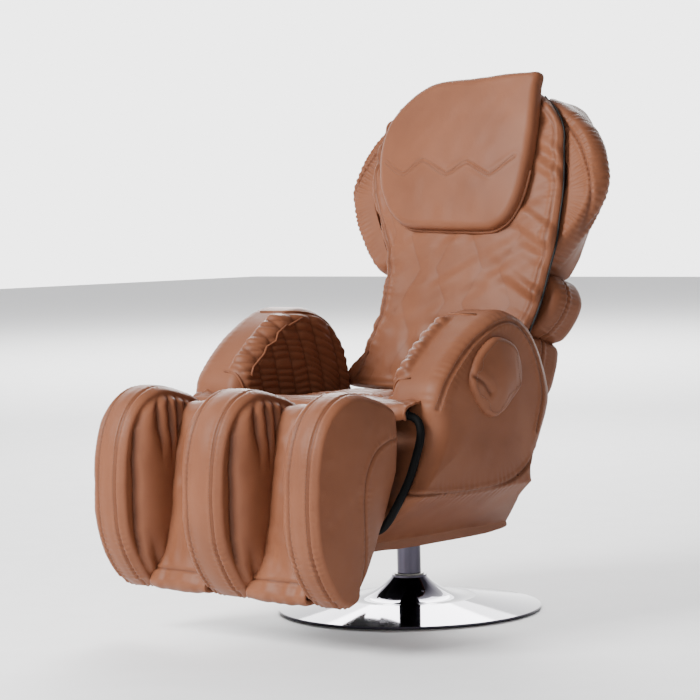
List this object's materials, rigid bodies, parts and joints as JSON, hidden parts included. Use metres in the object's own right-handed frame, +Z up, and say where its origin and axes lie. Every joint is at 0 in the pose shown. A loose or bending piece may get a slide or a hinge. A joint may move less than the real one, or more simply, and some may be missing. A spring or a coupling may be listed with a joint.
{
  "type": "massage chair",
  "caption": "Compact upholstered massage chair: reclining figure-eight back with massage carriage, airbag arms, lifting calf rest, on a round chrome swivel base.",
  "frame": {"origin": "centre of the round base on the floor", "axes": "+Z up, the chair faces -Y, +X is the sitter's left, where the hose and the stitched pocket are"},
  "size_m": [0.712, 0.9888, 1.1147],
  "materials": {
    "tan_leather": "soft grained PU leather",
    "chrome": "mirror",
    "black_steel": "satin powder coat",
    "zinc_steel": "zinc plated",
    "cast_iron": "raw casting",
    "rubber": "matte",
    "black_plastic": "moulded, matte",
    "roller_plastic": "moulded, satin",
    "board": "plywood",
    "airbag": "coated nylon",
    "hose_sleeve": "braided sleeve"
  },
  "bodies": {
    "base": {"floor_pad": "rubber", "base_disc": "chrome", "base_ballast": "cast_iron", "base_post": "chrome", "base_bolts": "zinc_steel", "swivel_washer": "roller_plastic"},
    "seat": {"swivel_sleeve": "chrome", "swivel_plate": "black_steel", "swivel_bolts": "zinc_steel", "bottom_pan": "black_plastic", "seat_frame": "black_steel", "hinge_brackets": "black_steel", "hinge_pins": "zinc_steel", "seat_board": "board", "front_panel": "board", "rear_panel": "black_plastic", "arm_left": "tan_leather", "arm_right": "tan_leather", "arm_pads": "tan_leather", "side_pocket": "tan_leather", "seat_cushion": "tan_leather", "seat_airbags": "airbag", "seat_flap": "tan_leather", "air_hose": "hose_sleeve", "hose_glands": "black_plastic", "air_pump": "black_plastic", "control_box": "black_plastic", "power_inlet": "black_plastic", "actuator_brackets": "black_steel"},
    "power_switch": {"power_rocker": "black_plastic"},
    "recline_barrel_body": {"recline_barrel": "black_plastic"},
    "recline_rod_body": {"recline_piston": "zinc_steel"},
    "lift_barrel_body": {"lift_barrel": "black_plastic"},
    "lift_rod_body": {"lift_piston": "zinc_steel"},
    "legrest": {"legrest_back": "black_plastic", "legrest_frame": "black_steel", "legrest_board": "board", "calf_airbags": "airbag", "calf_pad_left": "tan_leather", "calf_pad_right": "tan_leather", "ridge_left": "tan_leather", "ridge_centre": "tan_leather", "ridge_right": "tan_leather"},
    "backrest": {"back_frame": "black_steel", "guide_rails": "zinc_steel", "screw_motor": "black_plastic", "back_shell": "tan_leather", "wing_left": "tan_leather", "wing_right": "tan_leather", "back_side_pads": "tan_leather", "back_cover": "tan_leather"},
    "screw": {"lead_screw": "zinc_steel"},
    "carriage": {"carriage_frame": "black_steel", "carriage_nut": "roller_plastic", "massage_motor": "black_plastic", "knead_shaft": "zinc_steel"},
    "kneader": {"knead_arms": "black_steel"},
    "roller_pair_upper": {"rollers_upper": "roller_plastic"},
    "roller_pair_lower": {"rollers_lower": "roller_plastic"},
    "pillow": {"head_pillow": "tan_leather"}
  },
  "joints": [
    {"name": "swivel", "type": "hinge", "parent": "base", "child": "seat", "pos_m": [0, 0, 0.07], "axis": [0, 0, 1], "continuous": true},
    {"name": "recline", "type": "hinge", "parent": "seat", "child": "backrest", "pos_m": [0, 0.125, 0.4], "axis": [-1, 0, 0], "range_deg": [0, 28]},
    {"name": "legrest_lift", "type": "hinge", "parent": "seat", "child": "legrest", "pos_m": [0, -0.4, 0.44], "axis": [-1, 0, 0], "range_deg": [0, 75]},
    {"name": "pillow_flip", "type": "hinge", "parent": "backrest", "child": "pillow", "pos_m": [0, 0.25284, 1.10545], "axis": [-1, 0, 0], "range_deg": [0, 120]},
    {"name": "carriage_travel", "type": "slide", "parent": "backrest", "child": "carriage", "axis": [0, 0.2924, 0.9563], "range_m": [-0.18, 0.16]},
    {"name": "screw_spin", "type": "hinge", "parent": "backrest", "child": "screw", "pos_m": [0, 0.21271, 0.68689], "axis": [0, 0.2924, 0.9563], "range_deg": [-7300, 7300]},
    {"name": "knead_rock", "type": "hinge", "parent": "carriage", "child": "kneader", "pos_m": [0, 0.20714, 0.71997], "axis": [1, 0, 0], "range_deg": [-4, 4]},
    {"name": "roller_spin_upper", "type": "hinge", "parent": "kneader", "child": "roller_pair_upper", "pos_m": [0, 0.22059, 0.76396], "axis": [1, 0, 0], "continuous": true},
    {"name": "roller_spin_lower", "type": "hinge", "parent": "kneader", "child": "roller_pair_lower", "pos_m": [0, 0.19369, 0.67598], "axis": [1, 0, 0], "continuous": true},
    {"name": "power_rock", "type": "hinge", "parent": "seat", "child": "power_switch", "pos_m": [0.12, 0.041, 0.304], "axis": [1, 0, 0], "range_deg": [0, 8]},
    {"name": "recline_barrel_swing", "type": "hinge", "parent": "seat", "child": "recline_barrel_body", "pos_m": [0.039, -0.205, 0.262], "axis": [1, 0, 0], "range_deg": [-1, 5]},
    {"name": "recline_rod_slide", "type": "slide", "parent": "recline_barrel_body", "child": "recline_rod_body", "axis": [0, 0.9985, 0.0545], "range_m": [-0.058, 0.002]},
    {"name": "lift_barrel_swing", "type": "hinge", "parent": "seat", "child": "lift_barrel_body", "pos_m": [-0.039, -0.07, 0.262], "axis": [1, 0, 0], "range_deg": [-5, 1]},
    {"name": "lift_rod_slide", "type": "slide", "parent": "lift_barrel_body", "child": "lift_rod_body", "axis": [0, -0.9821, 0.1883], "range_m": [-0.002, 0.158]}
  ],
  "couplings": [
    {"joint": "screw_spin", "follows": "carriage_travel", "rad_per_m": 392.7},
    {"joint": "recline_barrel_swing", "follows": "recline", "ratio": 0.12703},
    {"joint": "recline_rod_slide", "follows": "recline", "m_per_rad": -0.11246},
    {"joint": "lift_barrel_swing", "follows": "legrest_lift", "ratio": -0.042754},
    {"joint": "lift_rod_slide", "follows": "legrest_lift", "m_per_rad": 0.11782}
  ]
}
